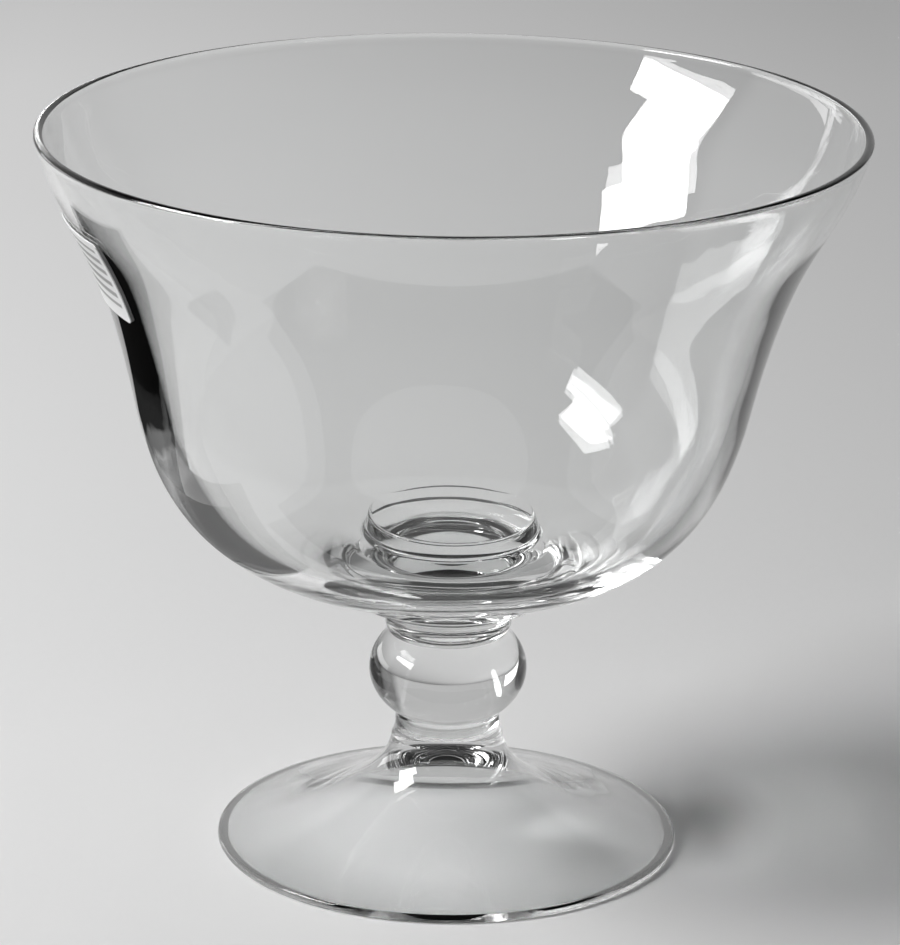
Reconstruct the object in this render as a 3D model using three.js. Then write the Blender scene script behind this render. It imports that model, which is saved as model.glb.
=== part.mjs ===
// A clear glass footed bowl, made hot from gathers that are fused end to end: a flared bowl with a raised
// button on its floor, a wafer, a ball knop, a second wafer and a spreading foot that is hollow underneath.
// A small paper label is stuck to the bowl's outer wall.
// Millimetres, +Z up. The origin is the centre of the circle that the foot stands on.
import * as THREE from 'three';

// Foot
const footRadius = 65.5;
const footHeight = 31.5;
const footTopRadius = 15.8;
const footTopLean = 9;
const footTopHandle = 4.6;
const footSkirtSlope = 13.4;
const footSkirtHandle = 47;
const footEdgeThickness = 2.6;
const footRingWidth = 2;
const footHollowHeight = 28.5;
const footHollowCrown = 13;
const footHollowSlope = 13;
const footHollowHandle = 43;

// Wafer between the foot and the knop
const footWaferHeight = 7.3;
const footWaferWaist = 3.5;

// Ball knop
const knopRadius = 22.4;
const knopHalfHeight = 16.8;
const knopBottomRadius = 14.8;
const knopTopRadius = 16.6;

// Wafer between the knop and the bowl, with a flange under the bowl
const bowlWaferHeight = 14.7;
const bowlWaferNeckRise = 3;
const bowlWaferNeckRadius = 17.9;
const flangeRadius = 27;
const flangeThickness = 4.6;
const flangeTaper = 1;
const flangeEdgeRadius = 0.8;

// Bowl, measured from its seat on the wafer
const bowlHeight = 131.6;
const rimRadius = 115;
const rimThickness = 2.6;
const rimLean = 16;
const rimHandle = 29;
const waistRadius = 85.8;
const waistHeight = 53;
const waistLean = 12.3;
const waistHandleUp = 57;
const waistHandleDown = 42.5;
const undersideSlope = 10;
const undersideHandle = 26;
const wallThickness = 5;
const innerWaistLean = 15;
const innerHandleUp = 57;
const innerHandleDown = 53.3;
const floorThickness = 12.8;
const floorRadius = 27;
const floorHandle = 9.3;

// Raised button on the bowl's floor
const buttonBaseRadius = 25.2;
const buttonTopRadius = 23.8;
const buttonHeight = 4.9;
const buttonEdgeRadius = 1;

// Paper label, in the flare of the bowl's outer wall
const labelWidth = 34;
const labelHeight = 26;
const labelThickness = 0.3;
const labelGap = 0.3;
const labelCentreHeight = 99.5;
const labelAzimuth = 198.6;

// Facets of the round pieces
const bowlSides = 60;
const stemSides = 40;
const footSides = 56;
const labelColumns = 8;
const labelRows = 6;
const labelWallSteps = 200;

// The knop is cut from an ellipsoid where the wafers' radii meet it
const knopBottomAngle = -Math.acos(knopBottomRadius / knopRadius);
const knopTopAngle = Math.acos(knopTopRadius / knopRadius);
const knopHeight = knopHalfHeight * (Math.sin(knopTopAngle) - Math.sin(knopBottomAngle));

// Heights of the joints between the gathers
const footWaferBase = footHeight;
const knopBase = footWaferBase + footWaferHeight;
const bowlWaferBase = knopBase + knopHeight;
const bowlBase = bowlWaferBase + bowlWaferHeight;
const bowlFloor = bowlBase + floorThickness;

const clearGlass = new THREE.MeshStandardMaterial({
  color: 0xe9eeec,
  roughness: 0.02,
  metalness: 0,
  transparent: true,
  opacity: 0.35,
});
const whitePaper = new THREE.MeshStandardMaterial({ color: 0xf2f1ec, roughness: 0.7, metalness: 0 });

// A point of an outline, as its radius and its height.
function at(radius, height) {
  return new THREE.Vector2(radius, height);
}

// The point at a distance from another, in a direction given in degrees above the horizontal.
function along(point, degrees, distance) {
  const angle = THREE.MathUtils.degToRad(degrees);
  return at(point.x + distance * Math.cos(angle), point.y + distance * Math.sin(angle));
}

function line(from, to) {
  return new THREE.LineCurve(from, to);
}

// A curve that leaves one point towards a corner and reaches the other from that corner.
function rounded(from, corner, to) {
  return new THREE.QuadraticBezierCurve(from, corner, to);
}

// Points of stretches that follow each other, each stretch a curve and its number of steps.
function trace(stretches) {
  const points = [];
  for (const [curve, steps] of stretches) {
    const next = curve.getPoints(steps);
    points.push(...(points.length > 0 ? next.slice(1) : next));
  }
  return points;
}

// A glass solid of revolution about Z, from an outline that starts and ends on the axis.
function turned(name, stretches, sides) {
  const geometry = new THREE.LatheGeometry(trace(stretches), sides);
  geometry.rotateX(Math.PI / 2);
  const mesh = new THREE.Mesh(geometry, clearGlass);
  mesh.name = name;
  return mesh;
}

// The foot: a skirt that spreads from the stem to a rounded edge, and a hollow inside the flat ring that it
// stands on, so that the skirt is a thin shell.
function makeFoot() {
  const top = at(footTopRadius, footHeight);
  const edgeRound = footEdgeThickness / 2;
  const edgeTop = at(footRadius - edgeRound, footEdgeThickness);
  const edgeBottom = at(footRadius - edgeRound, 0);
  const ring = at(edgeBottom.x - footRingWidth, 0);
  const hollow = at(0, footHollowHeight);
  const underside = new THREE.CubicBezierCurve(
    hollow,
    at(footHollowCrown, footHollowHeight),
    along(ring, 180 - footHollowSlope, footHollowHandle),
    ring,
  );
  const edge = new THREE.EllipseCurve(
    edgeBottom.x,
    edgeRound,
    edgeRound,
    edgeRound,
    -Math.PI / 2,
    Math.PI / 2,
  );
  const skirt = new THREE.CubicBezierCurve(
    edgeTop,
    along(edgeTop, 180 - footSkirtSlope, footSkirtHandle),
    along(top, footTopLean - 90, footTopHandle),
    top,
  );
  const outline = [
    [underside, 10],
    [line(ring, edgeBottom), 1],
    [edge, 4],
    [skirt, 10],
    [line(top, at(0, footHeight)), 1],
  ];
  return turned('foot', outline, footSides);
}

// The wafer on the foot: a short neck that is slightly waisted.
function makeFootWafer() {
  const bottom = at(footTopRadius, footWaferBase);
  const waist = at(knopBottomRadius, knopBase - footWaferWaist);
  const top = at(knopBottomRadius, knopBase);
  const outline = [
    [line(at(0, bottom.y), bottom), 1],
    [rounded(bottom, at(waist.x, bottom.y + footWaferWaist / 2), waist), 4],
    [line(waist, top), 1],
    [line(top, at(0, top.y)), 1],
  ];
  return turned('foot_wafer', outline, stemSides);
}

// The ball knop: an ellipsoid cut off flat at both joints.
function makeKnop() {
  const centre = knopBase - knopHalfHeight * Math.sin(knopBottomAngle);
  const ball = new THREE.EllipseCurve(0, centre, knopRadius, knopHalfHeight, knopBottomAngle, knopTopAngle);
  const outline = [
    [line(at(0, knopBase), at(knopBottomRadius, knopBase)), 1],
    [ball, 12],
    [line(at(knopTopRadius, bowlWaferBase), at(0, bowlWaferBase)), 1],
  ];
  return turned('ball_knop', outline, stemSides);
}

// The wafer under the bowl: a short neck that swells out of the knop and spreads into a flange.
function makeBowlWafer() {
  const bottom = at(knopTopRadius, bowlWaferBase);
  const neck = at(bowlWaferNeckRadius, bowlWaferBase + bowlWaferNeckRise);
  const flangeBase = bowlBase - flangeThickness;
  const edgeBottom = at(flangeRadius - flangeEdgeRadius, flangeBase);
  const edgeTop = at(flangeRadius, flangeBase + flangeEdgeRadius);
  const seat = at(flangeRadius - flangeTaper, bowlBase);
  const outline = [
    [line(at(0, bottom.y), bottom), 1],
    [rounded(bottom, at(neck.x, bottom.y + bowlWaferNeckRise / 2), neck), 3],
    [rounded(neck, at(neck.x, flangeBase), edgeBottom), 5],
    [rounded(edgeBottom, at(flangeRadius, flangeBase), edgeTop), 2],
    [line(edgeTop, seat), 1],
    [line(seat, at(0, bowlBase)), 1],
  ];
  return turned('bowl_wafer', outline, stemSides);
}

// The two stretches of the bowl's outer wall, which share their tangent at the waist.
function bowlOuterWall() {
  const seat = at(flangeRadius - flangeTaper, bowlBase);
  const waist = at(waistRadius, bowlBase + waistHeight);
  const lip = at(rimRadius, bowlBase + bowlHeight - rimThickness / 2);
  const heel = new THREE.CubicBezierCurve(
    seat,
    along(seat, undersideSlope, undersideHandle),
    along(waist, 90 - waistLean, -waistHandleDown),
    waist,
  );
  const flare = new THREE.CubicBezierCurve(
    waist,
    along(waist, 90 - waistLean, waistHandleUp),
    along(lip, 90 - rimLean, -rimHandle),
    lip,
  );
  return { heel, flare };
}

// The bowl, whose wall thickens from the rim to the floor. The floor is flat in the middle, under its button.
function makeBowl() {
  const { heel, flare } = bowlOuterWall();
  const seat = heel.v0;
  const waist = heel.v3;
  const lip = flare.v3;
  const rimRound = rimThickness / 2;
  const rim = new THREE.EllipseCurve(lip.x - rimRound, lip.y, rimRound, rimRound, 0, Math.PI);
  const innerLip = at(lip.x - rimThickness, lip.y);
  const innerWaist = along(waist, 180 - waistLean, wallThickness);
  const floorEdge = at(floorRadius, bowlFloor);
  const innerFlare = new THREE.CubicBezierCurve(
    innerLip,
    along(innerLip, 90 - rimLean, -rimHandle),
    along(innerWaist, 90 - innerWaistLean, innerHandleUp),
    innerWaist,
  );
  const innerHeel = new THREE.CubicBezierCurve(
    innerWaist,
    along(innerWaist, 90 - innerWaistLean, -innerHandleDown),
    along(floorEdge, 0, floorHandle),
    floorEdge,
  );
  const outline = [
    [line(at(0, bowlBase), seat), 1],
    [heel, 9],
    [flare, 8],
    [rim, 4],
    [innerFlare, 8],
    [innerHeel, 9],
    [line(floorEdge, at(0, bowlFloor)), 1],
  ];
  return turned('bowl', outline, bowlSides);
}

// The button: a low disc on the middle of the floor, with a side that leans in and a rounded top edge.
function makeButton() {
  const base = at(buttonBaseRadius, bowlFloor);
  const corner = at(buttonTopRadius, bowlFloor + buttonHeight);
  const sideFraction = 1 - buttonEdgeRadius / buttonHeight;
  const sideTop = base.clone().lerp(corner, sideFraction);
  const edgeTop = at(corner.x - buttonEdgeRadius, corner.y);
  const outline = [
    [line(at(0, base.y), base), 1],
    [line(base, sideTop), 1],
    [rounded(sideTop, corner, edgeTop), 3],
    [line(edgeTop, at(0, corner.y)), 1],
  ];
  return turned('floor_button', outline, stemSides);
}

// The label: a thin flat sheet bent onto the flare of the bowl's outer wall.
function makeLabel() {
  const { flare } = bowlOuterWall();
  const wall = flare.getSpacedPoints(labelWallSteps);
  const wallStep = flare.getLength() / labelWallSteps;
  const centreStep = wall.findIndex((point) => point.y > bowlBase + labelCentreHeight);
  const centreRadius = wall[centreStep].x;
  const geometry = new THREE.BoxGeometry(
    labelWidth,
    labelHeight,
    labelThickness,
    labelColumns,
    labelRows,
    1,
  );
  const position = geometry.attributes.position;
  for (let index = 0; index < position.count; index += 1) {
    const step = centreStep + position.getY(index) / wallStep;
    const fraction = step / labelWallSteps;
    const foot = flare.getPointAt(fraction);
    const tangent = flare.getTangentAt(fraction);
    const lift = labelGap + labelThickness / 2 + position.getZ(index);
    const radius = foot.x + lift * tangent.y;
    const height = foot.y - lift * tangent.x;
    const azimuth = THREE.MathUtils.degToRad(labelAzimuth) + position.getX(index) / centreRadius;
    position.setXYZ(index, radius * Math.cos(azimuth), radius * Math.sin(azimuth), height);
  }
  geometry.computeVertexNormals();
  const mesh = new THREE.Mesh(geometry, whitePaper);
  mesh.name = 'paper_label';
  return mesh;
}

const footedBowl = new THREE.Group();
footedBowl.add(makeFoot());
footedBowl.add(makeFootWafer());
footedBowl.add(makeKnop());
footedBowl.add(makeBowlWafer());
footedBowl.add(makeBowl());
footedBowl.add(makeButton());
footedBowl.add(makeLabel());

export default footedBowl;
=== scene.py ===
"""A clear glass footed bowl with a paper label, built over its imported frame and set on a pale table."""
import math
from types import SimpleNamespace

import bmesh
import bpy
from mathutils import Matrix, Vector


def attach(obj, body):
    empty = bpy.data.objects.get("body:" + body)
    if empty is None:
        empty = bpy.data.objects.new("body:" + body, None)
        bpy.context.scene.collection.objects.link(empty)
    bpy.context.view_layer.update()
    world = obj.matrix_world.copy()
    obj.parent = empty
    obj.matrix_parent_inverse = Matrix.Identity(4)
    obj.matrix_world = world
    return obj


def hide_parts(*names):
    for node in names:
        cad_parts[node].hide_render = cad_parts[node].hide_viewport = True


bl_info = {
    "name": "Footed glass bowl",
    "version": (1, 0, 0),
    "blender": (4, 5, 0),
    "location": "3D View > Sidebar > Footed Bowl",
    "description": "Builds a clear glass footed bowl, its paper label and a plain studio table",
    "category": "Add Mesh",
}

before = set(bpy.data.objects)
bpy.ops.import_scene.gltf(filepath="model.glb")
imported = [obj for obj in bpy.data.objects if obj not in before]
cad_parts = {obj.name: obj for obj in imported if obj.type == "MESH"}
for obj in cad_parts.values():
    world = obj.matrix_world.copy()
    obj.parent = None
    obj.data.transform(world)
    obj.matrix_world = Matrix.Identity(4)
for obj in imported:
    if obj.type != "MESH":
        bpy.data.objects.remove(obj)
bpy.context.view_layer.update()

BODY = "root"
MILLIMETRE = 0.001
HALF = 0.5
UPRIGHT = math.pi / 2
FULL_TURN = 2 * math.pi
BLACK = (0, 0, 0, 1)
WHITE = (1, 1, 1, 1)

# Steps along the curves of the outlines
LONG_STEPS = 44
SHORT_STEPS = 16
EDGE_STEPS = 10

# Edges between faces that meet more sharply than this stay sharp
CREASE = math.radians(50)

# Points of a turned outline that lie closer together than this are one
TOUCHING = MILLIMETRE / 1000

# Noise of the waves in the glass, and the depths between which they grow to the back
WAVE_DETAIL = 1
WAVE_ROUGHNESS = 0.3
WAVES_BEGIN = -20 * MILLIMETRE
WAVES_FULL = 30 * MILLIMETRE

# Ruled bars on the label: their number, thickness and limits, as shares of its height and width
BAR_COUNT = 7
BAR_SHARE = 0.45
BARS_BOTTOM = 0.16
BARS_TOP = 0.9
BARS_LEFT = 0.08
BARS_RIGHT = 0.92
INK_COVER = 0.7

# Fibres of the label's paper
FIBRES_TO_METRE = 1800
FIBRE_DETAIL = 3
FIBRE_CONTRAST = 0.2
FIBRE_RELIEF = 0.3
FIBRE_DEPTH = 0.02 * MILLIMETRE
PAPER_ROUGHNESS = 0.45

# Matt surfaces of the stage, and the grain of the table
MATT_ROUGHNESS = 0.9
MATT_GLOSS = 0.1
GRAINS_TO_METRE = 6
GRAIN_DETAIL = 4
GRAIN_DARKEST = 0.97

# Stretches of the table, in metres, over which its glow changes to the back and to the right
GLOW_FRONT_TO_BACK = (-0.15, 0.9)
GLOW_LEFT_TO_RIGHT = (-0.2, 0.2)

# Distances from the middle of the foot, and places across it, over which the painted glow under it fades
FOOT_GLOW_FADE = (0.035, 0.065)
FOOT_GLOW_ACROSS = (-0.02, 0.06)
FOOT_GLOW_RIGHT = 0.3

# Weight with which light that the table has scattered takes a card out of sight
SCATTERED = 100


def length(name, description, millimetres):
    """A length property, with its default given in millimetres."""
    return bpy.props.FloatProperty(
        name=name, description=description, default=millimetres * MILLIMETRE, unit="LENGTH", precision=4
    )


def angle(name, description, degrees):
    """An angle property, with its default given in degrees."""
    return bpy.props.FloatProperty(
        name=name, description=description, default=math.radians(degrees), subtype="ANGLE"
    )


def tint(name, description, colour):
    """A colour property."""
    return bpy.props.FloatVectorProperty(
        name=name, description=description, default=colour, size=3, min=0, max=1, subtype="COLOR"
    )


def amount(name, description, default):
    """A plain number property."""
    return bpy.props.FloatProperty(name=name, description=description, default=default, precision=4)


class FootSizes(bpy.types.PropertyGroup):
    """Sizes of the spreading foot."""

    radius: length("Radius", "Radius of the foot's edge", 65.5)
    height: length("Height", "Height of the joint above the foot", 31.5)
    top_radius: length("Top radius", "Radius at the joint above the foot", 15.8)
    top_lean: angle("Top lean", "Lean of the skirt at its top, from upright", 9)
    top_handle: length("Top handle", "Reach of the curve at the skirt's top", 4.6)
    skirt_slope: angle("Skirt slope", "Slope of the skirt at its edge", 13.4)
    skirt_handle: length("Skirt handle", "Reach of the curve at the skirt's edge", 47)
    edge_thickness: length("Edge thickness", "Thickness of the rounded edge", 2.6)
    ring_width: length("Ring width", "Width of the flat ring that it stands on", 2)
    hollow_height: length("Hollow height", "Height of the hollow under the foot", 28.5)
    hollow_crown: length("Hollow crown", "Reach of the curve at the hollow's crown", 13)
    hollow_slope: angle("Hollow slope", "Slope of the hollow at the ring", 13)
    hollow_handle: length("Hollow handle", "Reach of the curve at the ring", 43)
    sides: bpy.props.IntProperty(name="Sides", description="Facets around the foot", default=160, min=12)


class StemSizes(bpy.types.PropertyGroup):
    """Sizes of the two wafers and the ball knop."""

    foot_wafer_height: length("Foot wafer height", "Height of the wafer on the foot", 7.3)
    foot_wafer_waist: length("Foot wafer waist", "Height of its straight upper part", 3.5)
    knop_radius: length("Knop radius", "Widest radius of the ball knop", 22.4)
    knop_half_height: length("Knop half height", "Half height of the whole ball", 16.8)
    knop_bottom_radius: length("Knop bottom radius", "Radius of the joint under the knop", 14.8)
    knop_top_radius: length("Knop top radius", "Radius of the joint above the knop", 16.6)
    bowl_wafer_height: length("Bowl wafer height", "Height of the wafer under the bowl", 14.7)
    neck_rise: length("Neck rise", "Height in which the wafer swells to its neck", 3)
    neck_radius: length("Neck radius", "Radius of the wafer's neck", 17.9)
    flange_radius: length("Flange radius", "Radius of the flange under the bowl", 27)
    flange_thickness: length("Flange thickness", "Thickness of the flange", 4.6)
    flange_taper: length("Flange taper", "How far the flange draws in up to the bowl", 1)
    flange_edge: length("Flange edge", "Rounding of the flange's lower edge", 0.8)
    sides: bpy.props.IntProperty(name="Sides", description="Facets around the stem", default=128, min=12)


class BowlSizes(bpy.types.PropertyGroup):
    """Sizes of the bowl and of the button on its floor."""

    height: length("Height", "Height of the bowl above its seat", 131.6)
    rim_radius: length("Rim radius", "Outer radius of the rim", 115)
    rim_thickness: length("Rim thickness", "Thickness of the rounded rim", 2.6)
    rim_lean: angle("Rim lean", "Lean of the wall at the rim, from upright", 16)
    rim_handle: length("Rim handle", "Reach of the curve at the rim", 29)
    waist_radius: length("Waist radius", "Outer radius at the waist", 85.8)
    waist_height: length("Waist height", "Height of the waist above the seat", 53)
    waist_lean: angle("Waist lean", "Lean of the wall at the waist, from upright", 12.3)
    waist_handle_up: length("Waist handle up", "Reach of the curve above the waist", 57)
    waist_handle_down: length("Waist handle down", "Reach of the curve below the waist", 42.5)
    underside_slope: angle("Underside slope", "Slope of the underside at the seat", 10)
    underside_handle: length("Underside handle", "Reach of the curve at the seat", 26)
    wall_thickness: length("Wall thickness", "Thickness of the wall at the waist", 5)
    inner_lean: angle("Inner lean", "Lean of the inner wall at the waist, from upright", 15)
    inner_handle_up: length("Inner handle up", "Reach of the inner curve above the waist", 57)
    inner_handle_down: length("Inner handle down", "Reach of the inner curve below the waist", 53.3)
    floor_thickness: length("Floor thickness", "Thickness of the floor", 12.8)
    floor_radius: length("Floor radius", "Radius of the flat middle of the floor", 27)
    floor_handle: length("Floor handle", "Reach of the curve at the floor", 9.3)
    sway: length("Sway", "How far the blown wall leans out of true", -2.1)
    sway_rise: amount("Sway rise", "Below 1, the sway is widest low in the bowl", 0.6)
    sway_end: length("Sway end", "Depth below the rim at which the sway is over", 5)
    inner_sway: amount("Inner sway", "Share of the sway that the inner wall has", 0.5)
    button_base_radius: length("Button base radius", "Radius of the button at the floor", 25.2)
    button_top_radius: length("Button top radius", "Radius of the button's top", 23.8)
    button_height: length("Button height", "Height of the button above the floor", 4.9)
    button_edge: length("Button edge", "Rounding of the button's top edge", 1)
    button_fillet: length("Button fillet", "Fillet where the button meets the floor", 1.4)
    sides: bpy.props.IntProperty(name="Sides", description="Facets around the bowl", default=192, min=12)


class LabelSizes(bpy.types.PropertyGroup):
    """Size, place and colours of the paper label."""

    width: length("Width", "Width of the label around the bowl", 34)
    height: length("Height", "Height of the label along the wall", 26)
    thickness: length("Thickness", "Thickness of the paper", 0.3)
    gap: length("Gap", "Thickness of the gum under the paper", 0.3)
    centre: length("Centre", "Height of its middle above the bowl's seat", 99.5)
    azimuth: angle("Azimuth", "Direction of its middle around the bowl", 198.6)
    corner: length("Corner", "Radius of the paper's corners", 1.2)
    paper: tint("Paper", "Colour of the paper", (0.86, 0.86, 0.86))
    print_grey: tint("Print", "Colour of the plain ruled bars", (0.2, 0.2, 0.2))
    let_through: amount("Let through", "Share of the light that the paper lets through", 0.35)


class GlassLook(bpy.types.PropertyGroup):
    """Finish of the glass."""

    colour: tint("Colour", "What the glass lets through", (0.985, 0.99, 0.988))
    bend: amount("Refraction", "Refractive index of the glass", 1.5)
    wave_size: amount("Wave size", "Waves to the metre in the fire-polished surface", 60)
    wave_depth: length("Wave depth", "Depth of those waves", 0.12)
    front_waves: amount("Front waves", "Share of the waves that the front of the bowl has", 0.15)


class StageLook(bpy.types.PropertyGroup):
    """Table, lights and camera."""

    table: tint("Table", "Colour of the pale table", (0.75, 0.75, 0.75))
    room: tint("Room", "Colour of the dim room around it", (0.02, 0.02, 0.02))
    horizon: tint("Horizon", "Colour of the pale wall behind the table", (0.5, 0.5, 0.5))
    side: tint("Side", "Colour of the grey wall on the right", (0.2, 0.2, 0.2))
    wall_left: angle("Wall left", "How far the pale wall reaches to the left", 80)
    wall_right: angle("Wall right", "How far the pale wall reaches to the right", 30)
    side_right: angle("Side right", "How far the grey wall reaches to the right", 48)
    wall_rise: angle("Wall rise", "Height to which the walls rise", 35)
    glow_near: amount("Near glow", "Brightness that the near table has as a background", 0.05)
    glow_far: amount("Far glow", "Brightness that the far table has as a background", 0.27)
    glow_right: amount("Right glow", "Share of that brightness on the right", 0.5)
    # Painted light: the foot glow is emitted by the table under the foot, for light that comes through the
    # glass
    glow_foot: amount("Foot glow", "Brightness of the light that comes through the foot", 0.21)
    # Painted shadow: these five settings place and size a shade painted into the table's colour beside the
    # foot
    painted_foot_shade: amount("Foot shade", "Depth of the shade that the stem casts beside the foot", 0.6)
    shade_right: length("Shade right", "Distance of that shade's middle to the right", 77.5)
    shade_back: length("Shade back", "Distance of that shade's middle to the back", 14)
    shade_width: length("Shade width", "Reach of that shade to each side", 21)
    shade_depth: length("Shade depth", "Reach of that shade to the front and back", 42)
    dark_card: tint("Dark card", "Colour of the dark cards on the table", (0.01, 0.01, 0.01))
    grey_card: tint("Grey card", "Colour of the grey cards on the table", (0.15, 0.15, 0.15))
    upper_watts: amount("Upper window", "Power of the upper half of the window light on the left", 20)
    lower_watts: amount("Lower window", "Power of the lower half of the window light on the left", 15)
    low_watts: amount("Low", "Power of the fainter light low at the back left", 3)
    camera_back: length("Camera back", "Distance of the camera in front of the bowl", 1286)
    camera_up: length("Camera up", "Height of the camera", 531)
    camera_down: angle("Camera down", "How far the camera looks down", 18.16)
    camera_roll: angle("Camera roll", "How far the camera is turned about its axis", 0.642)
    camera_lens: amount("Lens", "Focal length in millimetres on a 36 mm sensor", 183.85)


class FootedBowlSettings(bpy.types.PropertyGroup):
    """Everything that can be changed about the footed bowl."""

    foot: bpy.props.PointerProperty(type=FootSizes)
    stem: bpy.props.PointerProperty(type=StemSizes)
    bowl: bpy.props.PointerProperty(type=BowlSizes)
    label: bpy.props.PointerProperty(type=LabelSizes)
    glass: bpy.props.PointerProperty(type=GlassLook)
    stage: bpy.props.PointerProperty(type=StageLook)


def settings():
    """The settings of this scene."""
    return bpy.context.scene.footed_bowl


def at(radius, height):
    """A point of an outline."""
    return Vector((radius, height))


def along(point, direction, distance):
    """The point at a distance from another, in a direction above the horizontal."""
    return point + distance * Vector((math.cos(direction), math.sin(direction)))


def bent(start, corner, end, steps):
    """Points of a curve that leaves its start towards a corner and reaches its end from there."""
    points = []
    for step in range(steps + 1):
        t = step / steps
        points.append((1 - t) ** 2 * start + 2 * t * (1 - t) * corner + t * t * end)
    return points


def swept(start, first, second, end, steps):
    """Points of a cubic curve with two handles."""
    points = []
    for step in range(steps + 1):
        t = step / steps
        near = (1 - t) ** 3 * start + 3 * t * (1 - t) ** 2 * first
        points.append(near + 3 * t * t * (1 - t) * second + t ** 3 * end)
    return points


def arc(centre, across, up, begin, finish, steps):
    """Points of an upright ellipse's arc."""
    points = []
    for step in range(steps + 1):
        turn = begin + (finish - begin) * step / steps
        points.append(centre + Vector((across * math.cos(turn), up * math.sin(turn))))
    return points


def knop_angles(stem):
    """Angles on the ball at which the joints below and above cut it."""
    bottom = -math.acos(stem.knop_bottom_radius / stem.knop_radius)
    top = math.acos(stem.knop_top_radius / stem.knop_radius)
    return bottom, top


def joint_heights():
    """Heights of the fused joints, from the foot upwards, and of the rim."""
    sizes = settings()
    stem = sizes.stem
    bottom, top = knop_angles(stem)
    knop_height = stem.knop_half_height * (math.sin(top) - math.sin(bottom))
    foot_top = sizes.foot.height
    knop_base = foot_top + stem.foot_wafer_height
    knop_top = knop_base + knop_height
    bowl_base = knop_top + stem.bowl_wafer_height
    return SimpleNamespace(
        foot_top=foot_top,
        knop_base=knop_base,
        knop_top=knop_top,
        bowl_base=bowl_base,
        floor=bowl_base + sizes.bowl.floor_thickness,
        rim=bowl_base + sizes.bowl.height,
        sway_top=bowl_base + sizes.bowl.height - sizes.bowl.sway_end,
    )


def foot_outline():
    """Stretches of the foot's outline, each with whether it is a fused joint."""
    foot = settings().foot
    top = at(foot.top_radius, foot.height)
    edge_round = foot.edge_thickness / 2
    edge_centre = at(foot.radius - edge_round, edge_round)
    edge_top = at(edge_centre.x, foot.edge_thickness)
    edge_bottom = at(edge_centre.x, 0)
    ring = at(edge_bottom.x - foot.ring_width, 0)
    crown = at(0, foot.hollow_height)
    hollow = swept(
        crown,
        at(foot.hollow_crown, foot.hollow_height),
        along(ring, math.pi - foot.hollow_slope, foot.hollow_handle),
        ring,
        LONG_STEPS,
    )
    skirt = swept(
        edge_top,
        along(edge_top, math.pi - foot.skirt_slope, foot.skirt_handle),
        along(top, foot.top_lean - UPRIGHT, foot.top_handle),
        top,
        LONG_STEPS,
    )
    return [
        (hollow, False),
        ([ring, edge_bottom], False),
        (arc(edge_centre, edge_round, edge_round, -UPRIGHT, UPRIGHT, SHORT_STEPS), False),
        (skirt, False),
        ([top, at(0, foot.height)], True),
    ]


def foot_wafer_outline():
    """Stretches of the outline of the wafer on the foot."""
    stem = settings().stem
    heights = joint_heights()
    bottom = at(settings().foot.top_radius, heights.foot_top)
    waist = at(stem.knop_bottom_radius, heights.knop_base - stem.foot_wafer_waist)
    top = at(stem.knop_bottom_radius, heights.knop_base)
    corner = at(waist.x, bottom.y + stem.foot_wafer_waist / 2)
    return [
        ([at(0, bottom.y), bottom], True),
        (bent(bottom, corner, waist, SHORT_STEPS), False),
        ([waist, top], False),
        ([top, at(0, top.y)], True),
    ]


def knop_outline():
    """Stretches of the outline of the ball knop."""
    stem = settings().stem
    heights = joint_heights()
    bottom, top = knop_angles(stem)
    centre = at(0, heights.knop_base - stem.knop_half_height * math.sin(bottom))
    ball = arc(centre, stem.knop_radius, stem.knop_half_height, bottom, top, LONG_STEPS)
    return [
        ([at(0, heights.knop_base), ball[0]], True),
        (ball, False),
        ([ball[-1], at(0, heights.knop_top)], True),
    ]


def bowl_seat():
    """The point where the flange meets the bowl's underside."""
    stem = settings().stem
    return at(stem.flange_radius - stem.flange_taper, joint_heights().bowl_base)


def bowl_wafer_outline():
    """Stretches of the outline of the wafer under the bowl."""
    stem = settings().stem
    heights = joint_heights()
    bottom = at(stem.knop_top_radius, heights.knop_top)
    neck = at(stem.neck_radius, bottom.y + stem.neck_rise)
    flange_base = heights.bowl_base - stem.flange_thickness
    edge_bottom = at(stem.flange_radius - stem.flange_edge, flange_base)
    edge_top = at(stem.flange_radius, flange_base + stem.flange_edge)
    seat = bowl_seat()
    return [
        ([at(0, bottom.y), bottom], True),
        (bent(bottom, at(neck.x, bottom.y + stem.neck_rise / 2), neck, SHORT_STEPS), False),
        (bent(neck, at(neck.x, flange_base), edge_bottom, SHORT_STEPS), False),
        (bent(edge_bottom, at(stem.flange_radius, flange_base), edge_top, EDGE_STEPS), False),
        ([edge_top, seat], False),
        ([seat, at(0, seat.y)], True),
    ]


def outer_wall():
    """Points of the bowl's outer wall: the heel from seat to waist, and the flare from waist to rim."""
    bowl = settings().bowl
    heights = joint_heights()
    seat = bowl_seat()
    waist = at(bowl.waist_radius, heights.bowl_base + bowl.waist_height)
    lip = at(bowl.rim_radius, heights.rim - bowl.rim_thickness / 2)
    waist_up = UPRIGHT - bowl.waist_lean
    heel = swept(
        seat,
        along(seat, bowl.underside_slope, bowl.underside_handle),
        along(waist, waist_up, -bowl.waist_handle_down),
        waist,
        LONG_STEPS,
    )
    flare = swept(
        waist,
        along(waist, waist_up, bowl.waist_handle_up),
        along(lip, UPRIGHT - bowl.rim_lean, -bowl.rim_handle),
        lip,
        LONG_STEPS,
    )
    return heel, flare


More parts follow.
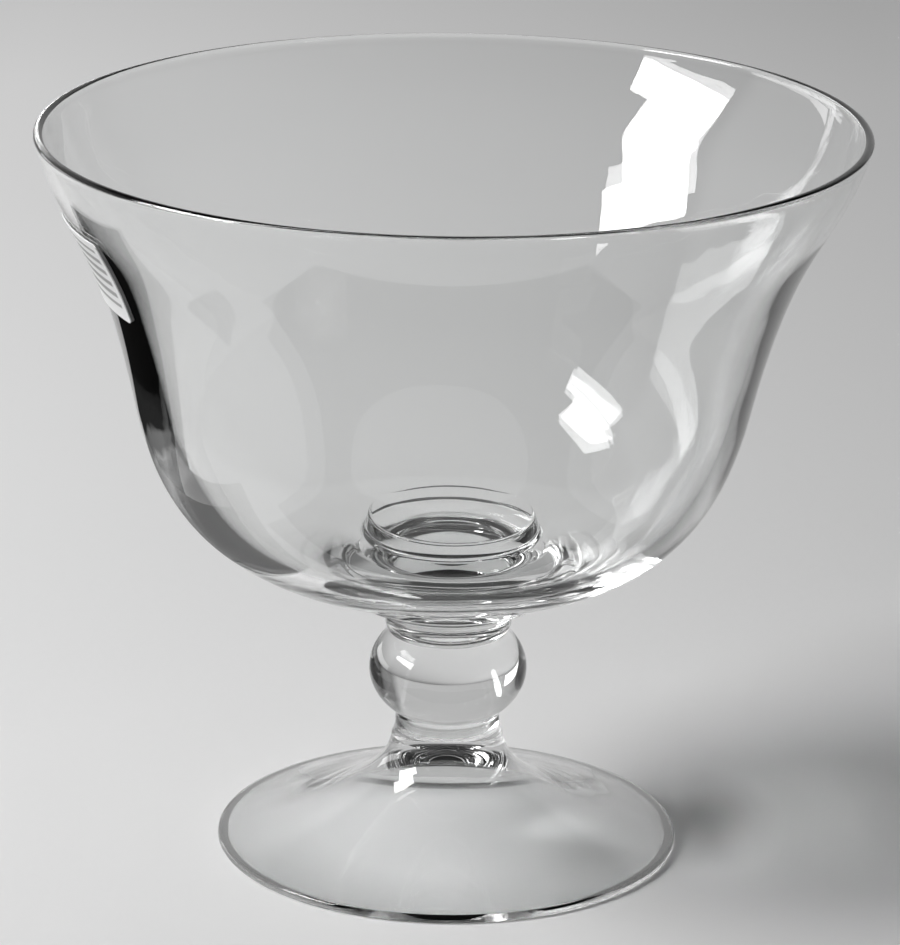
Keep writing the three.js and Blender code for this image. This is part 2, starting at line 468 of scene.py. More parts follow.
def bowl_outline():
    """Stretches of the bowl's outline, outside and then inside."""
    bowl = settings().bowl
    heights = joint_heights()
    heel, flare = outer_wall()
    seat, waist, lip = heel[0], heel[-1], flare[-1]
    rim_round = bowl.rim_thickness / 2
    rim = arc(at(lip.x - rim_round, lip.y), rim_round, rim_round, 0, math.pi, SHORT_STEPS)
    inner_waist = along(waist, math.pi - bowl.waist_lean, bowl.wall_thickness)
    inner_up = UPRIGHT - bowl.inner_lean
    floor_edge = at(bowl.floor_radius, heights.floor)
    button_edge = at(bowl.button_base_radius + bowl.button_fillet, heights.floor)
    inner_flare = swept(
        rim[-1],
        along(rim[-1], UPRIGHT - bowl.rim_lean, -bowl.rim_handle),
        along(inner_waist, inner_up, bowl.inner_handle_up),
        inner_waist,
        LONG_STEPS,
    )
    inner_heel = swept(
        inner_waist,
        along(inner_waist, inner_up, -bowl.inner_handle_down),
        along(floor_edge, 0, bowl.floor_handle),
        floor_edge,
        LONG_STEPS,
    )
    return [
        ([at(0, seat.y), seat], True),
        (heel, False),
        (flare, False),
        (rim, False),
        (inner_flare, False),
        (inner_heel, False),
        ([floor_edge, button_edge], False),
        ([button_edge, at(0, heights.floor)], True),
    ]


def button_outline():
    """Stretches of the outline of the button on the bowl's floor."""
    bowl = settings().bowl
    floor = joint_heights().floor
    base = at(bowl.button_base_radius, floor)
    corner = at(bowl.button_top_radius, floor + bowl.button_height)
    side = (corner - base).normalized()
    skirt_edge = at(base.x + bowl.button_fillet, floor)
    side_bottom = base + side * bowl.button_fillet
    side_top = corner - side * bowl.button_edge
    edge_top = at(corner.x - bowl.button_edge, corner.y)
    return [
        ([at(0, floor), skirt_edge], True),
        (bent(skirt_edge, base, side_bottom, EDGE_STEPS), False),
        ([side_bottom, side_top], False),
        (bent(side_top, corner, edge_top, EDGE_STEPS), False),
        ([edge_top, at(0, corner.y)], False),
    ]


class TreeMaker:
    """Adds nodes to a tree and links them, with less to write."""

    def __init__(self, tree):
        self.tree = tree

    def node(self, kind, **fields):
        """A new node with some of its fields set."""
        made = self.tree.nodes.new(kind)
        for field, value in fields.items():
            setattr(made, field, value)
        return made

    def feed(self, socket, value):
        """Sets a socket to a value, or links it from another socket."""
        if isinstance(value, bpy.types.NodeSocket):
            self.tree.links.new(value, socket)
        else:
            socket.default_value = value

    def maths(self, operation, first, second=None, clamp=False):
        """The result of a Math node."""
        made = self.node("ShaderNodeMath", operation=operation, use_clamp=clamp)
        self.feed(made.inputs[0], first)
        if second is not None:
            self.feed(made.inputs[1], second)
        return made.outputs[0]

    def ramp(self, value, start, end, first, last, kind="LINEAR"):
        """A value that goes from a first to a last one as another goes from start to end."""
        made = self.node("ShaderNodeMapRange", interpolation_type=kind)
        for socket, given in zip(made.inputs, (value, start, end, first, last)):
            self.feed(socket, given)
        return made.outputs[0]

    def vector(self, operation, first, second=None):
        """The result of a Vector Math node: a number for a length, and otherwise a vector."""
        made = self.node("ShaderNodeVectorMath", operation=operation)
        self.feed(made.inputs[0], first)
        if second is not None:
            self.feed(made.inputs[1], second)
        return made.outputs["Value" if operation == "LENGTH" else "Vector"]

    def parts(self, vector):
        """The parts of a vector, by the names of its axes."""
        made = self.node("ShaderNodeSeparateXYZ")
        self.feed(made.inputs[0], vector)
        return made.outputs

    def mixed(self, share, first, second):
        """A colour between a first and a second one."""
        made = self.node("ShaderNodeMix", data_type="RGBA")
        self.feed(made.inputs["Factor"], share)
        self.feed(made.inputs["A"], first)
        self.feed(made.inputs["B"], second)
        return made.outputs["Result"]

    def noise(self, place, scale, detail):
        """A Noise Texture node."""
        made = self.node("ShaderNodeTexNoise")
        self.feed(made.inputs["Vector"], place)
        self.feed(made.inputs["Scale"], scale)
        self.feed(made.inputs["Detail"], detail)
        return made

    def bumps(self, height, strength, distance):
        """The normals of a surface with a relief."""
        made = self.node("ShaderNodeBump")
        self.feed(made.inputs["Height"], height)
        self.feed(made.inputs["Strength"], strength)
        self.feed(made.inputs["Distance"], distance)
        return made.outputs["Normal"]

    def attribute(self, kind, name):
        """A named attribute of a mesh."""
        made = self.node("GeometryNodeInputNamedAttribute", data_type=kind)
        self.feed(made.inputs["Name"], name)
        return made.outputs["Attribute"]

    def sampled(self, outline, kind, domain, value, index):
        """A value of an outline at one of its points or edges."""
        made = self.node("GeometryNodeSampleIndex", data_type=kind, domain=domain)
        self.feed(made.inputs["Geometry"], outline)
        self.feed(made.inputs["Value"], value)
        self.feed(made.inputs["Index"], index)
        return made.outputs["Value"]

    def run_and_place(self, index, count):
        """Which run of so many an index falls in, and its place in that run."""
        run = self.maths("FLOOR", self.maths("DIVIDE", self.maths("ADD", index, HALF), count))
        return run, self.maths("SUBTRACT", index, self.maths("MULTIPLY", run, count))


def wall_shift(make, given, height, drift):
    """How far a point of a turned wall leans out of true."""
    rise = make.maths("SUBTRACT", height, given["Sway Base"])
    span = make.maths("SUBTRACT", given["Sway Top"], given["Sway Base"])
    share = make.maths("DIVIDE", rise, span, clamp=True)
    swing = make.maths("MULTIPLY", make.maths("POWER", share, given["Sway Rise"]), math.pi)
    reach = make.maths("MULTIPLY", given["Sway"], drift)
    return make.maths("MULTIPLY", make.maths("SINE", swing), reach)


def turning_tree():
    """The Geometry Nodes tree that turns an outline about the upright axis into a closed glass solid."""
    tree = bpy.data.node_groups.get("Turn Outline")
    if tree is not None:
        return tree
    tree = bpy.data.node_groups.new("Turn Outline", "GeometryNodeTree")
    face = tree.interface
    face.new_socket("Outline", in_out="INPUT", socket_type="NodeSocketGeometry")
    for name, kind in (
        ("Sides", "NodeSocketInt"),
        ("Sway", "NodeSocketFloat"),
        ("Sway Base", "NodeSocketFloat"),
        ("Sway Top", "NodeSocketFloat"),
        ("Sway Rise", "NodeSocketFloat"),
        ("Glass", "NodeSocketMaterial"),
        ("Joint", "NodeSocketMaterial"),
    ):
        face.new_socket(name, in_out="INPUT", socket_type=kind)
    face.new_socket("Solid", in_out="OUTPUT", socket_type="NodeSocketGeometry")
    make = TreeMaker(tree)
    given = make.node("NodeGroupInput").outputs
    outline = given["Outline"]
    size = make.node("GeometryNodeAttributeDomainSize", component="MESH")
    make.feed(size.inputs["Geometry"], outline)
    points, edges = size.outputs["Point Count"], size.outputs["Edge Count"]
    grid = make.node("GeometryNodeMeshGrid")
    make.feed(grid.inputs["Vertices X"], make.maths("ADD", given["Sides"], 1))
    make.feed(grid.inputs["Vertices Y"], points)
    index = make.node("GeometryNodeInputIndex").outputs[0]
    column, row = make.run_and_place(index, points)
    position = make.node("GeometryNodeInputPosition").outputs[0]
    spot = make.parts(make.sampled(outline, "FLOAT_VECTOR", "POINT", position, row))
    radius, height = spot["X"], spot["Z"]
    turn = make.maths("MULTIPLY", make.maths("DIVIDE", column, given["Sides"]), FULL_TURN)
    drift = make.sampled(outline, "FLOAT", "POINT", make.attribute("FLOAT", "drift"), row)
    across = make.maths("MULTIPLY", radius, make.maths("COSINE", turn))
    join = make.node("ShaderNodeCombineXYZ")
    make.feed(join.inputs["X"], make.maths("ADD", across, wall_shift(make, given, height, drift)))
    make.feed(join.inputs["Y"], make.maths("MULTIPLY", radius, make.maths("SINE", turn)))
    make.feed(join.inputs["Z"], height)
    place = make.node("GeometryNodeSetPosition")
    make.feed(place.inputs["Geometry"], grid.outputs["Mesh"])
    make.feed(place.inputs["Position"], join.outputs[0])
    _, segment = make.run_and_place(index, edges)
    fused = make.sampled(outline, "BOOLEAN", "EDGE", make.attribute("BOOLEAN", "fused"), segment)
    store = make.node("GeometryNodeStoreNamedAttribute", data_type="BOOLEAN", domain="FACE")
    make.feed(store.inputs["Geometry"], place.outputs["Geometry"])
    make.feed(store.inputs["Name"], "joint")
    make.feed(store.inputs["Value"], fused)
    merge = make.node("GeometryNodeMergeByDistance")
    make.feed(merge.inputs["Geometry"], store.outputs["Geometry"])
    make.feed(merge.inputs["Distance"], TOUCHING)
    smooth = make.node("GeometryNodeSetShadeSmooth")
    make.feed(smooth.inputs["Geometry"], merge.outputs["Geometry"])
    real = make.node("GeometryNodeRealizeInstances")
    make.feed(real.inputs["Geometry"], smooth.outputs["Geometry"])
    clear = make.node("GeometryNodeSetMaterial")
    make.feed(clear.inputs["Geometry"], real.outputs["Geometry"])
    make.feed(clear.inputs["Material"], given["Glass"])
    inner = make.node("GeometryNodeSetMaterial")
    make.feed(inner.inputs["Geometry"], clear.outputs["Geometry"])
    make.feed(inner.inputs["Selection"], make.attribute("BOOLEAN", "joint"))
    make.feed(inner.inputs["Material"], given["Joint"])
    result = make.node("NodeGroupOutput")
    make.feed(result.inputs["Solid"], inner.outputs["Geometry"])
    return tree


def new_material(name):
    """A material with a Principled shader, and a maker for more of its nodes."""
    material = bpy.data.materials.new(name)
    material.use_nodes = True
    shader = material.node_tree.nodes["Principled BSDF"]
    return material, shader, TreeMaker(material.node_tree)


def clear_glass():
    """Fire-polished clear glass, with the slight waves of a hand-made surface."""
    name = "Clear glass"
    if name in bpy.data.materials:
        return bpy.data.materials[name]
    look = settings().glass
    material, shader, make = new_material(name)
    shader.inputs["Base Color"].default_value = (*look.colour, 1)
    shader.inputs["Roughness"].default_value = 0
    shader.inputs["IOR"].default_value = look.bend
    shader.inputs["Transmission Weight"].default_value = 1
    place = make.node("ShaderNodeTexCoord").outputs["Object"]
    waves = make.noise(place, look.wave_size, WAVE_DETAIL)
    make.feed(waves.inputs["Roughness"], WAVE_ROUGHNESS)
    back = make.ramp(make.parts(place)["Y"], WAVES_BEGIN, WAVES_FULL, look.front_waves, 1)
    height = make.maths("MULTIPLY", waves.outputs["Fac"], back)
    make.feed(shader.inputs["Normal"], make.bumps(height, 1, look.wave_depth))
    return material


def fused_joint():
    """The inside of a fused joint, where glass goes on into glass and nothing shows."""
    name = "Fused joint"
    if name in bpy.data.materials:
        return bpy.data.materials[name]
    material, shader, _ = new_material(name)
    shader.inputs["Alpha"].default_value = 0
    return material


def input_named(tree, name):
    """The identifier of one of a tree's inputs."""
    for item in tree.interface.items_tree:
        if item.item_type == "SOCKET" and item.in_out == "INPUT" and item.name == name:
            return item.identifier
    raise KeyError(name)


def add_object(name, mesh):
    """A new object in the scene."""
    made = bpy.data.objects.new(name, mesh)
    bpy.context.scene.collection.objects.link(made)
    return made


def outline_mesh(name, stretches, swaying):
    """An outline of edges that know whether they are fused, and of points that know how far they sway."""
    points = []
    flags = []
    drifts = []
    for number, (stretch, is_joint) in enumerate(stretches):
        skipped = 1 if points else 0
        first, last = swaying.get(number, (0, 0))
        for step in range(skipped, len(stretch)):
            points.append(stretch[step])
            drifts.append(first + (last - first) * step / (len(stretch) - 1))
        flags.extend([is_joint] * (len(stretch) - 1))
    outline = bpy.data.meshes.new(name)
    corners = [(point.x, 0, point.y) for point in points]
    outline.from_pydata(corners, [(step, step + 1) for step in range(len(points) - 1)], [])
    fused = outline.attributes.new("fused", "BOOLEAN", "EDGE")
    fused.data.foreach_set("value", flags)
    drift = outline.attributes.new("drift", "FLOAT", "POINT")
    drift.data.foreach_set("value", drifts)
    return outline


def turned(name, stretches, sides, swaying=None):
    """A glass piece turned from its outline, some stretches of which sway by a first and a last share."""
    outline = outline_mesh(name + "_outline", stretches, swaying or {})
    piece = add_object(name, outline)
    heights = joint_heights()
    tree = turning_tree()
    modifier = piece.modifiers.new("Turn", "NODES")
    modifier.node_group = tree
    for socket, value in (
        ("Sides", sides),
        ("Sway", settings().bowl.sway),
        ("Sway Base", heights.bowl_base),
        ("Sway Top", heights.sway_top),
        ("Sway Rise", settings().bowl.sway_rise),
        ("Glass", clear_glass()),
        ("Joint", fused_joint()),
    ):
        modifier[input_named(tree, socket)] = value
    depsgraph = bpy.context.evaluated_depsgraph_get()
    mesh = bpy.data.meshes.new_from_object(piece.evaluated_get(depsgraph), depsgraph=depsgraph)
    piece.modifiers.remove(modifier)
    piece.data = mesh
    bpy.data.meshes.remove(outline)
    close_outwards(mesh)
    mesh.name = name
    return piece


def close_outwards(mesh):
    """Turns all the faces of a closed mesh outwards, and keeps its creases sharp."""
    work = bmesh.new()
    work.from_mesh(mesh)
    bmesh.ops.recalc_face_normals(work, faces=work.faces)
    if any(not edge.is_manifold for edge in work.edges):
        raise RuntimeError(mesh.name + " is not closed")
    work.to_mesh(mesh)
    work.free()
    mesh.set_sharp_from_angle(angle=CREASE)


def finish_glass(piece, node):
    """Hands a glass piece to the frame in place of its node."""
    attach(piece, BODY)
    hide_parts(node)


def sway_at(height):
    """How far the bowl's wall is out of true at a height."""
    bowl = settings().bowl
    heights = joint_heights()
    share = (height - heights.bowl_base) / (heights.sway_top - heights.bowl_base)
    share = min(max(share, 0), 1)
    return bowl.sway * math.sin(math.pi * share ** bowl.sway_rise)


def label_paper():
    """Coated white paper with plain ruled bars inside a bare margin."""
    look = settings().label
    material, shader, make = new_material("Label paper")
    place = make.node("ShaderNodeTexCoord").outputs
    sheet = make.parts(place["UV"])
    across, up = sheet["X"], sheet["Y"]
    bars = make.maths("FRACT", make.maths("MULTIPLY", up, BAR_COUNT))
    inked = make.maths("LESS_THAN", bars, BAR_SHARE)
    for limit in (
        make.maths("GREATER_THAN", up, BARS_BOTTOM),
        make.maths("LESS_THAN", up, BARS_TOP),
        make.maths("GREATER_THAN", across, BARS_LEFT),
        make.maths("LESS_THAN", across, BARS_RIGHT),
    ):
        inked = make.maths("MULTIPLY", inked, limit)
    fibre = make.noise(place["Object"], FIBRES_TO_METRE, FIBRE_DETAIL).outputs["Fac"]
    grain = make.maths("MULTIPLY", make.maths("SUBTRACT", fibre, HALF), FIBRE_CONTRAST)
    ink = make.maths("MULTIPLY", inked, make.maths("ADD", grain, INK_COVER), clamp=True)
    colour = make.mixed(ink, (*look.paper, 1), (*look.print_grey, 1))
    make.feed(shader.inputs["Base Color"], colour)
    make.feed(shader.inputs["Roughness"], make.maths("ADD", grain, PAPER_ROUGHNESS))
    make.feed(shader.inputs["Normal"], make.bumps(fibre, FIBRE_RELIEF, FIBRE_DEPTH))
    through = make.node("ShaderNodeBsdfTranslucent")
    make.feed(through.inputs["Color"], colour)
    blend = make.node("ShaderNodeMixShader")
    make.feed(blend.inputs["Fac"], look.let_through)
    make.feed(blend.inputs[1], shader.outputs["BSDF"])
    make.feed(blend.inputs[2], through.outputs["BSDF"])
    make.feed(material.node_tree.nodes["Material Output"].inputs["Surface"], blend.outputs["Shader"])
    return material


def wall_walk(points):
    """Distances along a run of outline points, from its start."""
    walked = [0.0]
    for first, second in zip(points, points[1:]):
        walked.append(walked[-1] + (second - first).length)
    return walked


def wall_point(points, walked, distance):
    """Point and outward direction on a run of outline points, at a distance along it."""
    step = 0
    while step < len(points) - 2 and walked[step + 1] < distance:
        step += 1
    way = points[step + 1] - points[step]
    foot = points[step] + way * ((distance - walked[step]) / way.length)
    return foot, Vector((way.y, -way.x)).normalized()


def label_grid(label, columns, rows):
    """Places across and up a sheet with rounded corners, from minus a half to a half of its size."""
    places = []
    for row in range(rows + 1):
        up = (row / rows - 0.5) * label.height
        short = max(abs(up) - (label.height / 2 - label.corner), 0)
        draw_in = label.corner - math.sqrt(max(label.corner ** 2 - short ** 2, 0))
        reach = label.width / 2 - draw_in
        places.append([((column / columns * 2 - 1) * reach, up) for column in range(columns + 1)])
    return places


def bent_sheet(work, lift, columns, rows):
    """Rows of the label's corners, lifted so far off the bowl's outer wall."""
    label = settings().label
    flare = outer_wall()[1]
    walked = wall_walk(flare)
    middle_height = joint_heights().bowl_base + label.centre
    middle = next(step for step, point in enumerate(flare) if point.y > middle_height)
    around = flare[middle].x
    sheet = []
    for line in label_grid(label, columns, rows):
        bends = []
        for across, up in line:
            foot, out = wall_point(flare, walked, walked[middle] + up)
            spot = foot + out * lift
            turn = label.azimuth + across / around
            corner = (spot.x * math.cos(turn) + sway_at(spot.y), spot.x * math.sin(turn), spot.y)
            bends.append(work.verts.new(corner))
        sheet.append(bends)
    return sheet


def sheet_faces(front, back, columns, rows):
    """Corners of the faces of a thin sheet: its front, its back and the strip around its edge."""
    faces = []
    for row in range(rows):
        for column in range(columns):
            faces.append([front[row + j][column + i] for i, j in ((0, 0), (1, 0), (1, 1), (0, 1))])
            faces.append([back[row + j][column + i] for i, j in ((0, 0), (0, 1), (1, 1), (1, 0))])
    edge = [(0, column) for column in range(columns)]
    edge += [(row, columns) for row in range(rows)]
    edge += [(rows, column) for column in range(columns, 0, -1)]
    edge += [(row, 0) for row in range(rows, 0, -1)]
    for (row, column), (next_row, next_column) in zip(edge, edge[1:] + edge[:1]):
        behind = [back[row][column], back[next_row][next_column]]
        faces.append(behind + [front[next_row][next_column], front[row][column]])
    return faces


class FOOTED_BOWL_OT_bowl(bpy.types.Operator):
    """Turn the flared bowl."""

    bl_idname = "footed_bowl.bowl"
    bl_label = "Make Bowl"

    # Numbers of the stretches of the bowl's outline
    heel, flare, inner_flare, inner_heel = 1, 2, 4, 5

    def execute(self, context):
        bowl = settings().bowl
        swaying = {
            self.heel: (1, 1),
            self.flare: (1, 1),
            self.inner_flare: (bowl.inner_sway, bowl.inner_sway),
            self.inner_heel: (bowl.inner_sway, 0),
        }
        finish_glass(turned("glass_bowl", bowl_outline(), bowl.sides, swaying), "bowl")
        return {"FINISHED"}


class FOOTED_BOWL_OT_button(bpy.types.Operator):
    """Turn the raised button on the bowl's floor."""

    bl_idname = "footed_bowl.button"
    bl_label = "Make Floor Button"

    def execute(self, context):
        finish_glass(turned("glass_floor_button", button_outline(), settings().stem.sides), "floor_button")
        return {"FINISHED"}


class FOOTED_BOWL_OT_stem(bpy.types.Operator):
    """Turn the stem: the wafer under the bowl, the ball knop and the wafer on the foot."""

    bl_idname = "footed_bowl.stem"
    bl_label = "Make Stem"

    def execute(self, context):
        sides = settings().stem.sides
        finish_glass(turned("glass_bowl_wafer", bowl_wafer_outline(), sides), "bowl_wafer")
        finish_glass(turned("glass_ball_knop", knop_outline(), sides), "ball_knop")
        finish_glass(turned("glass_foot_wafer", foot_wafer_outline(), sides), "foot_wafer")
        return {"FINISHED"}


class FOOTED_BOWL_OT_foot(bpy.types.Operator):
    """Turn the spreading foot."""

    bl_idname = "footed_bowl.foot"
    bl_label = "Make Foot"

    def execute(self, context):
        finish_glass(turned("glass_foot", foot_outline(), settings().foot.sides), "foot")
        return {"FINISHED"}


class FOOTED_BOWL_OT_label(bpy.types.Operator):
    """Bend the paper label onto the bowl's outer wall."""

    bl_idname = "footed_bowl.label"
    bl_label = "Make Label"

    columns = 28
    rows = 36

    def execute(self, context):
        label = settings().label
        work = bmesh.new()
        uv = work.loops.layers.uv.new("UVMap")
        front = bent_sheet(work, label.gap + label.thickness, self.columns, self.rows)
        back = bent_sheet(work, label.gap, self.columns, self.rows)
        shares = {}
        for sheet in (front, back):
            for row, line in enumerate(sheet):
                for column, corner in enumerate(line):
                    shares[corner] = (column / self.columns, row / self.rows)
        for corners in sheet_faces(front, back, self.columns, self.rows):
            face = work.faces.new(corners)
            face.smooth = True
            for loop in face.loops:
                loop[uv].uv = shares[loop.vert]
        mesh = bpy.data.meshes.new("label_sheet")
        work.to_mesh(mesh)
        work.free()
        close_outwards(mesh)
        mesh.materials.append(label_paper())
        piece = add_object("label_sheet", mesh)
        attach(piece, BODY)
        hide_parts("paper_label")
        return {"FINISHED"}


def make_matt(shader):
    """Takes the gloss off a shader."""
    shader.inputs["Roughness"].default_value = MATT_ROUGHNESS
    shader.inputs["Specular IOR Level"].default_value = MATT_GLOSS


def painted_table_shade(make, place):
    """Painted shadow: share by which the table's colour is darkened towards black beside the foot, where
    the stem's shade falls.
    """
    look = settings().stage
    beside = make.vector("SUBTRACT", place, (look.shade_right, look.shade_back, 0))
    spread = make.vector("DIVIDE", beside, (look.shade_width, look.shade_depth, 1))
    return make.ramp(make.vector("LENGTH", spread), 0, 1, look.painted_foot_shade, 0, "SMOOTHSTEP")


def table_glow(make, place):
    """Brightness that the table emits as a background, and a painted pool of light that it emits under the
    glass foot.
    """
    look = settings().stage
    spot = make.parts(place)
    backward = make.ramp(spot["Y"], *GLOW_FRONT_TO_BACK, look.glow_near, look.glow_far)
    rightward = make.ramp(spot["X"], *GLOW_LEFT_TO_RIGHT, 1, look.glow_right)
    # Painted light: a pool of glow under the foot, fading out towards its edge and to the right
    disc = make.ramp(make.vector("LENGTH", place), *FOOT_GLOW_FADE, look.glow_foot, 0)
    across = make.ramp(spot["X"], *FOOT_GLOW_ACROSS, 1, FOOT_GLOW_RIGHT)
    painted_foot_glow = make.maths("MULTIPLY", disc, across)
    return make.maths("ADD", make.maths("MULTIPLY", backward, rightward), painted_foot_glow)


def table_surface():
    """Matt pale paper of the table, with a faint grain."""
    look = settings().stage
    material, shader, make = new_material("Pale table")
    place = make.node("ShaderNodeTexCoord").outputs["Object"]
    grain = make.noise(place, GRAINS_TO_METRE, GRAIN_DETAIL).outputs["Fac"]
    darkest = (*[GRAIN_DARKEST * part for part in look.table], 1)
    paper = make.mixed(grain, darkest, (*look.table, 1))
    # Painted shadow: the table's colour is darkened beside the foot
    make.feed(shader.inputs["Base Color"], make.mixed(painted_table_shade(make, place), paper, BLACK))
    make_matt(shader)
    path = make.node("ShaderNodeLightPath").outputs
    mirrored = make.maths("ADD", path["Is Glossy Ray"], path["Is Transmission Ray"])
    seen = make.maths("ADD", path["Is Camera Ray"], mirrored, clamp=True)
    shader.inputs["Emission Color"].default_value = WHITE
    make.feed(shader.inputs["Emission Strength"], make.maths("MULTIPLY", table_glow(make, place), seen))
    return material


def card_surface(name, tone, crossings=0):
    """Matt card that only light reflected in the glass meets, after so many crossings of its surface."""
    material, shader, make = new_material(name)
    shader.inputs["Base Color"].default_value = (*tone, 1)
    make_matt(shader)
    path = make.node("ShaderNodeLightPath").outputs
    from_table = make.maths("MULTIPLY", path["Diffuse Depth"], SCATTERED)
    shown = make.maths("SUBTRACT", path["Glossy Depth"], from_table, clamp=True)
    crossed = make.maths("GREATER_THAN", path["Transmission Depth"], crossings - HALF)
    make.feed(shader.inputs["Alpha"], make.maths("MULTIPLY", shown, crossed))
    return material


def add_card(name, surface, left, right, near, far):
    """A card that lies on the table, and shows only in the glass."""
    lift = MILLIMETRE
    mesh = bpy.data.meshes.new(name)
    corners = [(left, near, lift), (right, near, lift), (right, far, lift), (left, far, lift)]
    mesh.from_pydata(corners, [], [(0, 1, 2, 3)])
    mesh.materials.append(surface)
    made = add_object(name, mesh)
    made.visible_camera = False
    made.visible_diffuse = False
    made.visible_shadow = False


def add_lamp(name, watts, place, target, width, height):
    """A soft rectangular lamp that faces a point, and that the camera doesn't see."""
    lamp = bpy.data.lights.new(name, "AREA")
    lamp.shape = "RECTANGLE"
    lamp.size = width
    lamp.size_y = height
    lamp.energy = watts
    made = add_object(name, lamp)
    aim = (Vector(target) - Vector(place)).to_track_quat("-Z", "Y")
    made.matrix_world = Matrix.Translation(place) @ aim.to_matrix().to_4x4()
    made.visible_camera = False


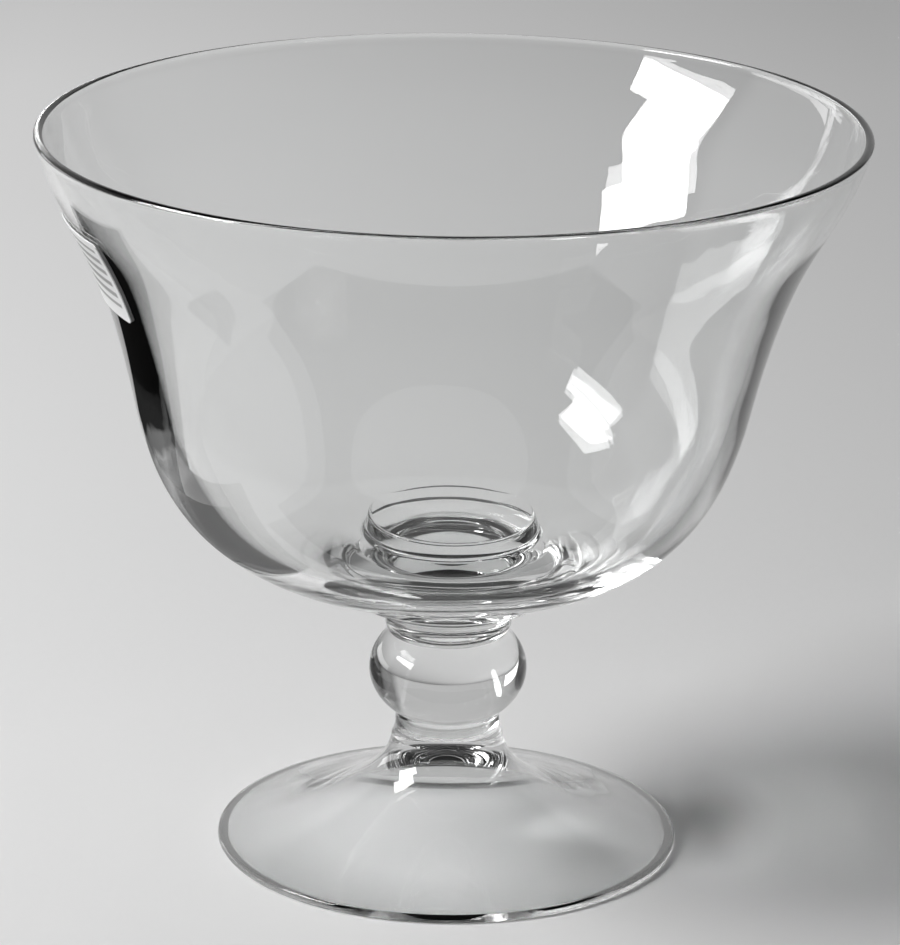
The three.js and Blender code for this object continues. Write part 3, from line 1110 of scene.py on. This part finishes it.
class FOOTED_BOWL_OT_stage(bpy.types.Operator):
    """Set the table, the room, the lamps, the cards and the camera."""

    bl_idname = "footed_bowl.stage"
    bl_label = "Set Stage"

    table_radius = 3.5
    table_sides = 96
    wall_softness = math.radians(6)

    # Width of the camera's sensor, in millimetres, and how far it sees, in metres
    sensor_width = 36
    sight = 50

    # Times that light may go through glass, and be reflected in it
    glass_bounces = 64
    inner_bounces = 26

    # Crossings of the glass that light has made on its way down from the base of the bowl
    base_crossings = 3

    def execute(self, context):
        scene = context.scene
        look = settings().stage
        self.set_table()
        self.set_room(scene, look)
        self.set_lamps(look)
        self.set_cards(look)
        self.set_camera(scene, look)
        scene.view_settings.view_transform = "Standard"
        scene.cycles.max_bounces = self.glass_bounces
        scene.cycles.transmission_bounces = self.glass_bounces
        scene.cycles.glossy_bounces = self.inner_bounces
        scene.cycles.transparent_max_bounces = self.glass_bounces
        scene.cycles.blur_glossy = 0
        return {"FINISHED"}

    def set_lamps(self, look):
        """The two halves of the window on the left, and a fainter lamp low at the back left."""
        add_lamp(
            "upper_window",
            look.upper_watts,
            place=(-1.15, -0.08, 1.215),
            target=(0, -0.08, 1.215),
            width=0.76,
            height=0.47,
        )
        add_lamp(
            "lower_window",
            look.lower_watts,
            place=(-1.15, -0.28, 0.8),
            target=(0, -0.28, 0.8),
            width=0.76,
            height=0.36,
        )
        add_lamp(
            "low_lamp",
            look.low_watts,
            place=(-1.39, 0.8, 0.2),
            target=(0, 0, 0.2),
            width=1.35,
            height=0.25,
        )

    def set_cards(self, look):
        """The cards that darken the foot's rim, the bowl's left wall, its heel and its base."""
        dark = card_surface("Dark card", look.dark_card)
        grey = card_surface("Grey card", look.grey_card)
        deep = card_surface("Deep card", look.dark_card, self.base_crossings)
        add_card("front_card", dark, left=-0.15, right=0.15, near=-0.2, far=-0.06)
        add_card("left_card", dark, left=-0.32, right=-0.185, near=0.1, far=0.33)
        add_card("heel_card", grey, left=-0.185, right=-0.085, near=-0.02, far=0.3)
        add_card("base_card", deep, left=-0.085, right=0.12, near=-0.06, far=0.12)

    def set_table(self):
        """The round pale table top."""
        work = bmesh.new()
        bmesh.ops.create_circle(work, cap_ends=True, radius=self.table_radius, segments=self.table_sides)
        mesh = bpy.data.meshes.new("table_top")
        work.to_mesh(mesh)
        work.free()
        mesh.materials.append(table_surface())
        add_object("table_top", mesh)

    def set_room(self, scene, look):
        """The dim room, and the paler distance that the camera sees behind the table."""
        world = bpy.data.worlds.new("Room")
        scene.world = world
        world.use_nodes = True
        make = TreeMaker(world.node_tree)
        backdrop = world.node_tree.nodes["Background"]
        way = make.parts(make.node("ShaderNodeTexCoord").outputs["Generated"])
        turn = make.maths("ARCTAN2", way["X"], way["Y"])
        upward = make.maths("ARCSINE", way["Z"])
        soft = self.wall_softness
        below = make.ramp(upward, look.wall_rise - soft, look.wall_rise, 1, 0)
        from_left = make.ramp(turn, -look.wall_left - soft, -look.wall_left, 0, 1)
        shade = (*look.room, 1)
        for right, colour in ((look.side_right, look.side), (look.wall_right, look.horizon)):
            from_right = make.ramp(turn, right, right + soft, 1, 0)
            share = make.maths("MULTIPLY", make.maths("MULTIPLY", from_left, from_right), below)
            shade = make.mixed(share, shade, (*colour, 1))
        to_camera = make.node("ShaderNodeLightPath").outputs["Is Camera Ray"]
        make.feed(backdrop.inputs["Color"], make.mixed(to_camera, shade, (*look.horizon, 1)))

    def set_camera(self, scene, look):
        """The camera, at the place and angle from which the bowl was photographed."""
        lens = bpy.data.cameras.new("photo_camera")
        lens.sensor_width = self.sensor_width
        lens.lens = look.camera_lens
        lens.clip_end = self.sight
        camera = add_object("photo_camera", lens)
        tilt = Matrix.Rotation(UPRIGHT - look.camera_down, 4, "X")
        roll = Matrix.Rotation(look.camera_roll, 4, "Z")
        camera.matrix_world = Matrix.Translation((0, -look.camera_back, look.camera_up)) @ tilt @ roll
        scene.camera = camera


class FOOTED_BOWL_PT_panel(bpy.types.Panel):
    """Lists the makers of the footed bowl and its settings."""

    bl_label = "Footed Bowl"
    bl_idname = "FOOTED_BOWL_PT_panel"
    bl_space_type = "VIEW_3D"
    bl_region_type = "UI"
    bl_category = "Footed Bowl"

    def draw(self, context):
        for operator in OPERATORS:
            self.layout.operator(operator.bl_idname)
        for name in ("foot", "stem", "bowl", "label", "glass", "stage"):
            group = getattr(context.scene.footed_bowl, name)
            column = self.layout.column(heading=name.capitalize())
            for field in group.__annotations__:
                column.prop(group, field)


OPERATORS = (
    FOOTED_BOWL_OT_stage,
    FOOTED_BOWL_OT_bowl,
    FOOTED_BOWL_OT_button,
    FOOTED_BOWL_OT_stem,
    FOOTED_BOWL_OT_foot,
    FOOTED_BOWL_OT_label,
)
CLASSES = (
    FootSizes,
    StemSizes,
    BowlSizes,
    LabelSizes,
    GlassLook,
    StageLook,
    FootedBowlSettings,
    *OPERATORS,
    FOOTED_BOWL_PT_panel,
)


def register():
    """Adds the settings, the operators and the panel."""
    for each in CLASSES:
        bpy.utils.register_class(each)
    bpy.types.Scene.footed_bowl = bpy.props.PointerProperty(type=FootedBowlSettings)


def unregister():
    """Takes them away again."""
    del bpy.types.Scene.footed_bowl
    for each in reversed(CLASSES):
        bpy.utils.unregister_class(each)


def main():
    """Builds the whole scene."""
    register()
    bpy.ops.footed_bowl.stage()
    bpy.ops.footed_bowl.bowl()
    bpy.ops.footed_bowl.button()
    bpy.ops.footed_bowl.stem()
    bpy.ops.footed_bowl.foot()
    bpy.ops.footed_bowl.label()


if __name__ == "__main__":
    main()
